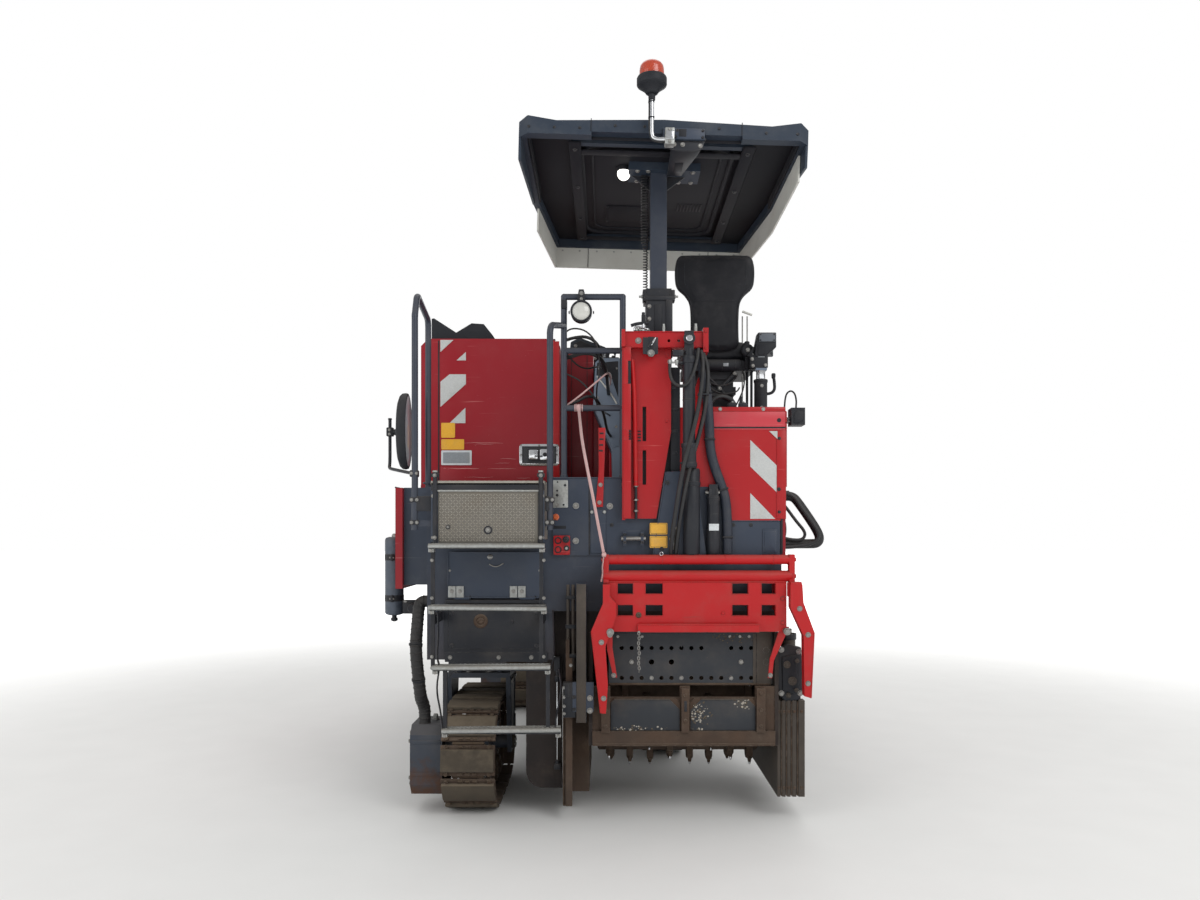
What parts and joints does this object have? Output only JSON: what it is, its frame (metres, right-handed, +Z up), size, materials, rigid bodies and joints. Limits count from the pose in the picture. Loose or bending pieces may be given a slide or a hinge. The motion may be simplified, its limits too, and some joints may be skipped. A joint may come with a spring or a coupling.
{
  "type": "cold planer",
  "caption": "Tracked cold milling machine with a rear drum between folding and fixed tracks, operator's deck, roof on a lifting mast and engine hood.",
  "frame": {"origin": "middle of the bounding box, on the ground under the tracks", "axes": "+Y the way it drives, +X its right side, +Z up"},
  "size_m": [2.5729, 4.958, 3.956],
  "materials": {
    "red": "worn gloss red paint",
    "blue": "dark blue-grey paint, dusty",
    "rust": "rusty, worn steel",
    "track": "dusty pads on steel links",
    "galv": "galvanised, dull",
    "steel": "grey plate",
    "black": "black",
    "tube": "dark tube",
    "fabric": "black cover",
    "hose": "black hose",
    "amber": "amber lens",
    "engine": "plain block",
    "white": "off-white sheet"
  },
  "bodies": {
    "chassis": {"chassis": "blue", "rear_plate": "blue", "deck": "steel", "drum_housing": "rust", "scraper_plate": "steel", "track_rear_left": "track", "carrier_rear_left": "blue", "hoses": "hose", "ladder": "galv", "handrails": "tube", "engine_block": "engine", "hinge_pins": "blue", "cowl": "red", "right_box": "red", "seat_base": "black", "seat": "fabric", "controls": "tube", "a_frame": "red", "lift_cylinders": "black", "hose_duct": "blue", "conveyor_bracket": "red", "canopy_post": "blue", "mirror": "black", "side_canister": "steel", "work_lamps": "black", "front_hood": "red", "front_grille": "black", "front_bumper": "blue", "side_tanks": "blue", "side_skins": "red"},
    "drum": {"milling_drum": "rust"},
    "scraper": {"scraper_frame": "rust"},
    "guard_left": {"side_plate_left": "rust"},
    "guard_right": {"side_plate_right": "rust"},
    "front_left": {"track_front_left": "track", "carrier_front_left": "blue"},
    "front_right": {"track_front_right": "track", "carrier_front_right": "blue"},
    "folding_track": {"track_rear_right": "track", "carrier_rear_right": "blue"},
    "hood": {"engine_hood": "red", "hood_grilles": "black"},
    "locker": {"locker_flap": "blue"},
    "canopy": {"canopy_mast": "tube", "canopy_roof": "blue", "beacon": "amber", "roof_skirt": "white"}
  },
  "joints": [
    {"name": "drum_spin", "type": "hinge", "parent": "chassis", "child": "drum", "pos_m": [0.42, -1.49, 0.56], "axis": [1, 0, 0], "continuous": true},
    {"name": "scraper_lift", "type": "slide", "parent": "chassis", "child": "scraper", "axis": [0, 0, 1], "range_m": [0, 0.25]},
    {"name": "guard_left_lift", "type": "slide", "parent": "chassis", "child": "guard_left", "axis": [0, 0, 1], "range_m": [-0.08, 0.1]},
    {"name": "guard_right_lift", "type": "slide", "parent": "chassis", "child": "guard_right", "axis": [0, 0, 1], "range_m": [-0.08, 0.1]},
    {"name": "steer_left", "type": "hinge", "parent": "chassis", "child": "front_left", "pos_m": [-0.78, 1.49, 1], "axis": [0, 0, 1], "range_deg": [-25, 25]},
    {"name": "steer_right", "type": "hinge", "parent": "chassis", "child": "front_right", "pos_m": [0.78, 1.49, 1], "axis": [0, 0, 1], "range_deg": [-25, 25]},
    {"name": "track_fold", "type": "hinge", "parent": "chassis", "child": "folding_track", "pos_m": [0.9, -0.76, 1.2], "axis": [0, 0, -1], "range_deg": [0, 180]},
    {"name": "hood_open", "type": "hinge", "parent": "chassis", "child": "hood", "pos_m": [-1.163, -0.61, 1.88], "axis": [0, -1, 0], "range_deg": [0, 75]},
    {"name": "locker_open", "type": "hinge", "parent": "chassis", "child": "locker", "pos_m": [-0.62, -1.984, 1.225], "axis": [1, 0, 0], "range_deg": [0, 85]},
    {"name": "canopy_lift", "type": "slide", "parent": "chassis", "child": "canopy", "axis": [0, 0, 1], "range_m": [-0.3, 0]}
  ],
  "couplings": [
    {"joint": "steer_right", "follows": "steer_left", "ratio": 1}
  ]
}
